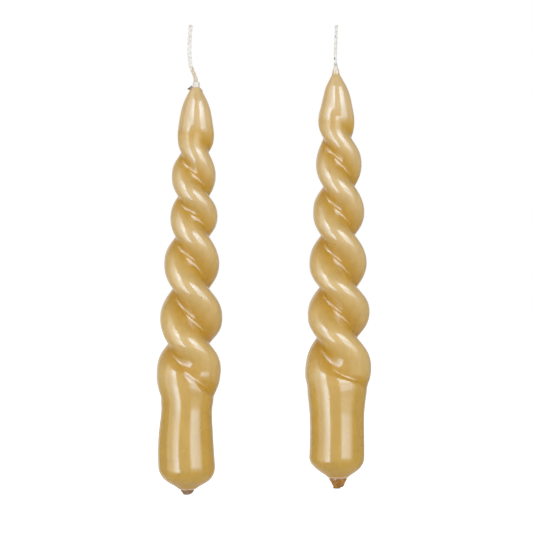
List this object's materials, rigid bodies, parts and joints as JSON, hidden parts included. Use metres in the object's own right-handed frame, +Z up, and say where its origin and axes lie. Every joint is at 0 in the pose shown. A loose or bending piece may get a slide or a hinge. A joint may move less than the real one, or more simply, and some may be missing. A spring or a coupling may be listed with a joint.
{
  "type": "havdalah candle",
  "caption": "Glossy hand-twisted taper candles with round butts, plaited cotton wicks and drip nibs, standing side by side to give a joined flame.",
  "frame": {"origin": "centre of the left candle's butt, at the height of its lower rim", "axes": "+Z up along the candles, +X from the left candle to the right one, +Y away from the viewer"},
  "size_m": [0.0855, 0.0254, 0.1886],
  "materials": {
    "lacquer_coat": "glossy camel wax overdip",
    "core_wax": "pale plain wax",
    "nib_wax": "dark amber cut wax",
    "sheath_wax": "priming wax soaked into cotton",
    "root_wax": "thin clear wax over cotton",
    "cotton": "plaited bleached cotton"
  },
  "bodies": {
    "left_candle": {"left_coat": "lacquer_coat", "left_core": "core_wax", "left_drip_nib": "nib_wax", "left_wick_sheath": "sheath_wax", "left_root_wax": "root_wax", "left_wick_strand_1": "cotton", "left_wick_strand_2": "cotton", "left_wick_strand_3": "cotton"},
    "right_candle": {"right_coat": "lacquer_coat", "right_core": "core_wax", "right_drip_nib": "nib_wax", "right_wick_sheath": "sheath_wax", "right_root_wax": "root_wax", "right_wick_strand_1": "cotton", "right_wick_strand_2": "cotton", "right_wick_strand_3": "cotton"}
  },
  "joints": [
    {"name": "right_candle_lift", "type": "slide", "parent": "left_candle", "child": "right_candle", "axis": [0, 0, 1], "range_m": [0, 0.2]}
  ]
}
